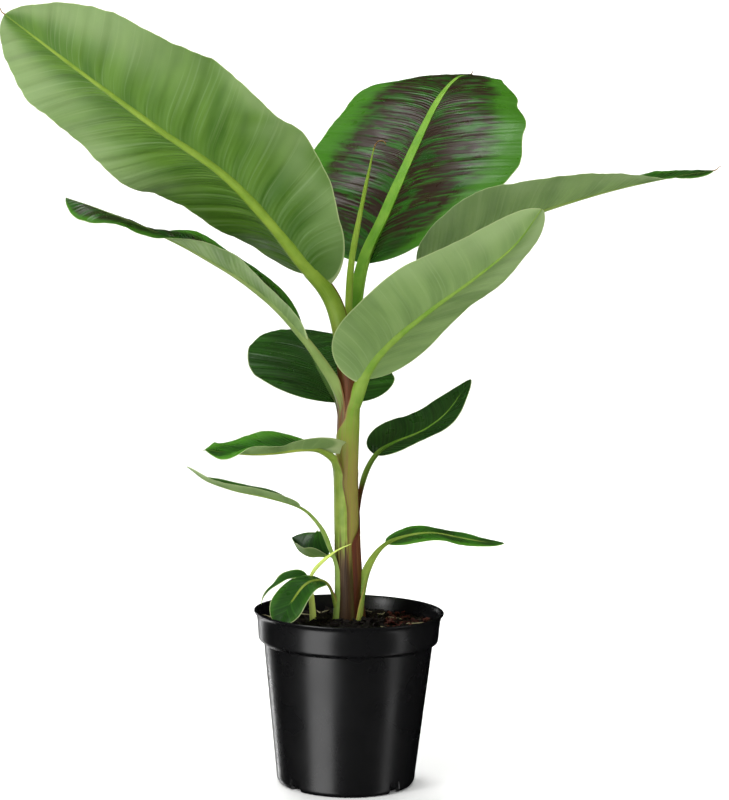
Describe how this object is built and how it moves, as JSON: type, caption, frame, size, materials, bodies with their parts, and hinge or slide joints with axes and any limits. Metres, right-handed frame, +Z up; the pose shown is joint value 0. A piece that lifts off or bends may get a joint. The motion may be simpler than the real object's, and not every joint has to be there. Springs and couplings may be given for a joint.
{
  "type": "potted banana plant",
  "caption": "Young banana plant with a straight stem and broad arching leaves, standing in a tapered round nursery pot with soil.",
  "frame": {"origin": "middle of the pot's flat underside", "axes": "+Z up along the pot, -Y is the side seen from the front, +X to the right seen from the front"},
  "size_m": [0.832, 0.652, 0.9384],
  "materials": {
    "pot_plastic": "satin black moulded polypropylene",
    "soil": "damp potting soil with bark",
    "stem": "soft leaf sheaths, olive green and red brown",
    "stalk": "smooth waxy leaf stalk",
    "leaf": "waxy green leaf, paler below"
  },
  "bodies": {
    "root": {"leaf_back": "leaf", "leaf_base_left": "leaf", "leaf_far_right": "leaf", "leaf_front_right": "leaf", "leaf_low_back": "leaf", "leaf_low_left": "leaf", "leaf_low_right": "leaf", "leaf_lower_left": "leaf", "leaf_lower_right": "leaf", "leaf_middle_left": "leaf", "leaf_shoot": "leaf", "leaf_small_back": "leaf", "leaf_upper_left": "leaf", "pot": "pot_plastic", "rolled_leaf": "leaf", "shoot_folded_leaf": "leaf", "shoot_stem": "stalk", "soil": "soil", "stalk_back": "stalk", "stalk_base_left": "stalk", "stalk_far_right": "stalk", "stalk_front_right": "stalk", "stalk_low_back": "stalk", "stalk_low_left": "stalk", "stalk_low_right": "stalk", "stalk_lower_left": "stalk", "stalk_lower_right": "stalk", "stalk_middle_left": "stalk", "stalk_small_back": "stalk", "stalk_upper_left": "stalk", "stem": "stem"}
  },
  "joints": []
}
